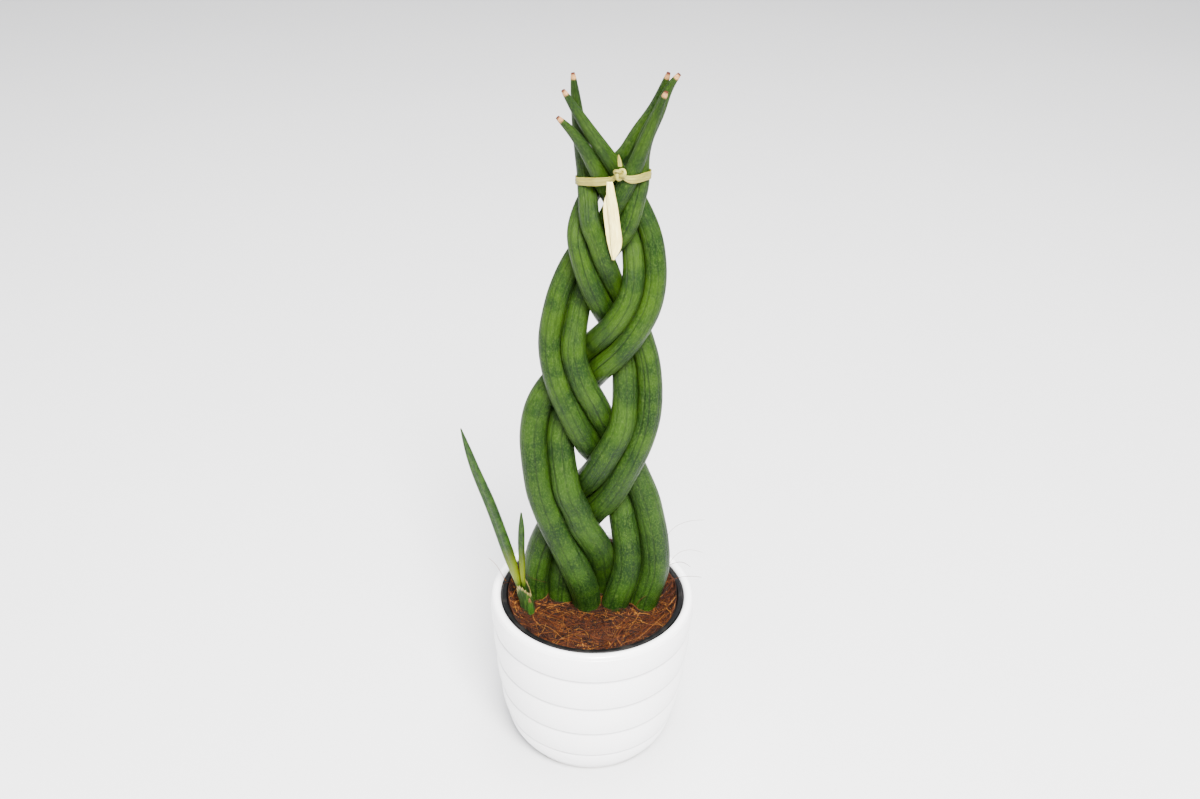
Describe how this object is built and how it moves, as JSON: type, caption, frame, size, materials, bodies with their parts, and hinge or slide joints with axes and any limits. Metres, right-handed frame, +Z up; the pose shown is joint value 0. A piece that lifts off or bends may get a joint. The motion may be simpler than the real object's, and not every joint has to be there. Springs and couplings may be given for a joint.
{
  "type": "potted snake plant",
  "caption": "Round-leaved snake plant with leaves plaited upright and tied with raffia, with a small offshoot, in a ribbed white ceramic pot.",
  "frame": {"origin": "centre of the ceramic pot's foot, on the surface it stands on", "axes": "+Z up along the pot's axis, +X to the right seen from the front of the plait, +Y to the back"},
  "size_m": [0.1497, 0.1346, 0.4666],
  "materials": {
    "white_glaze": "white satin gloss glaze",
    "black_plastic": "black moulded polypropylene, satin",
    "potting_mix": "damp dark peat mix",
    "coir": "loose red-brown coconut fibre",
    "leaf_green": "waxy satin leaf skin, deep green with fine pale speckle",
    "pup_green": "waxy satin young leaf, bright green towards the foot",
    "rhizome": "tan fleshy underground stem",
    "raffia": "dry straw-coloured palm fibre"
  },
  "bodies": {
    "root": {"ceramic_pot": "white_glaze", "nursery_pot": "black_plastic", "potting_mix": "potting_mix", "coir_topping": "coir", "rhizome": "rhizome", "leaf_low_left": "leaf_green", "leaf_low_left_inner": "leaf_green", "leaf_back_left": "leaf_green", "leaf_back_centre": "leaf_green", "leaf_right_inner": "leaf_green", "leaf_right_outer": "leaf_green", "pup_tall_leaf": "pup_green", "pup_short_leaf": "pup_green", "pup_sheath": "pup_green", "pup_scale_leaf": "pup_green", "raffia_band": "raffia", "raffia_knot": "raffia", "raffia_long_tail": "raffia", "raffia_under_tail": "raffia", "raffia_short_tail": "raffia"}
  },
  "joints": []
}
